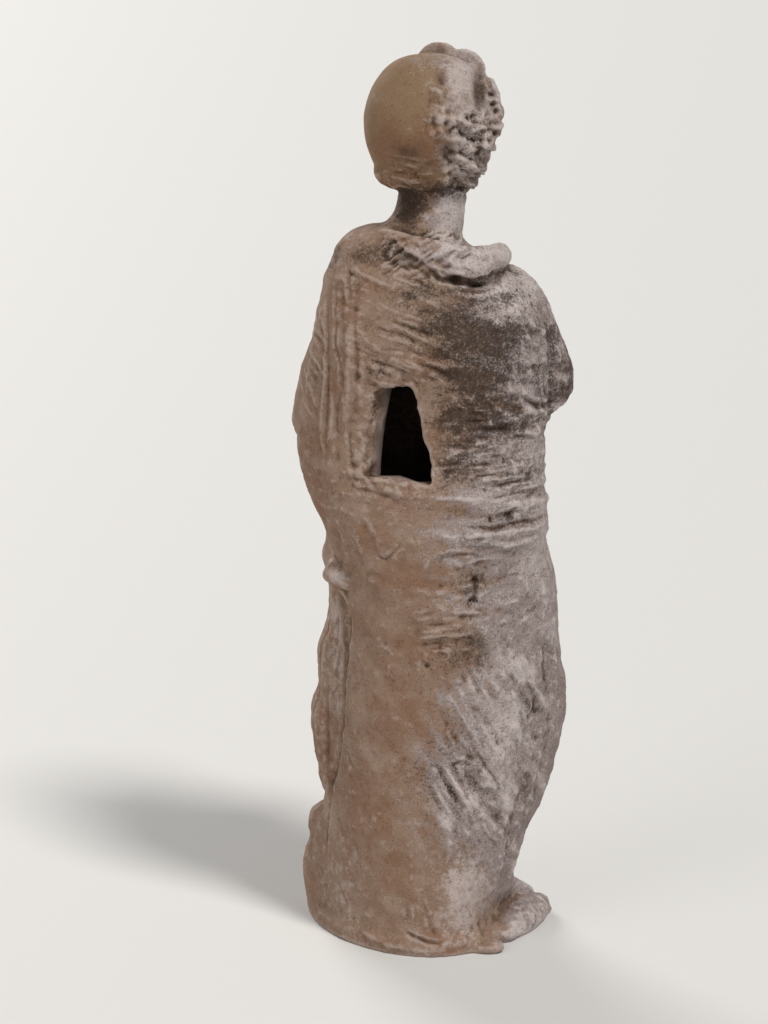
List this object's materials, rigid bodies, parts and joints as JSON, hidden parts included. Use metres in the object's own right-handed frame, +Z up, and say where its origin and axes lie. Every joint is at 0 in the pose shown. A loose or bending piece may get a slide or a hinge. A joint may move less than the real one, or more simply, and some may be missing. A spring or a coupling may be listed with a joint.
{
  "type": "terracotta statue",
  "caption": "Hollow hand-built terracotta statue of a standing draped woman with a wreath, open below, with a tall vent hole in its back.",
  "frame": {"origin": "on the ground under the middle of the figure's overall box", "axes": "+Z up; the body faces -Y, so its left side is at +X and its back, with the vent hole, at +Y"},
  "size_m": [0.3104, 0.2984, 0.9978],
  "materials": {
    "terracotta": "unglazed fired clay, matt, worn, with pale slip on the head and dark soil stains"
  },
  "bodies": {
    "root": {"statue": "terracotta"}
  },
  "joints": []
}
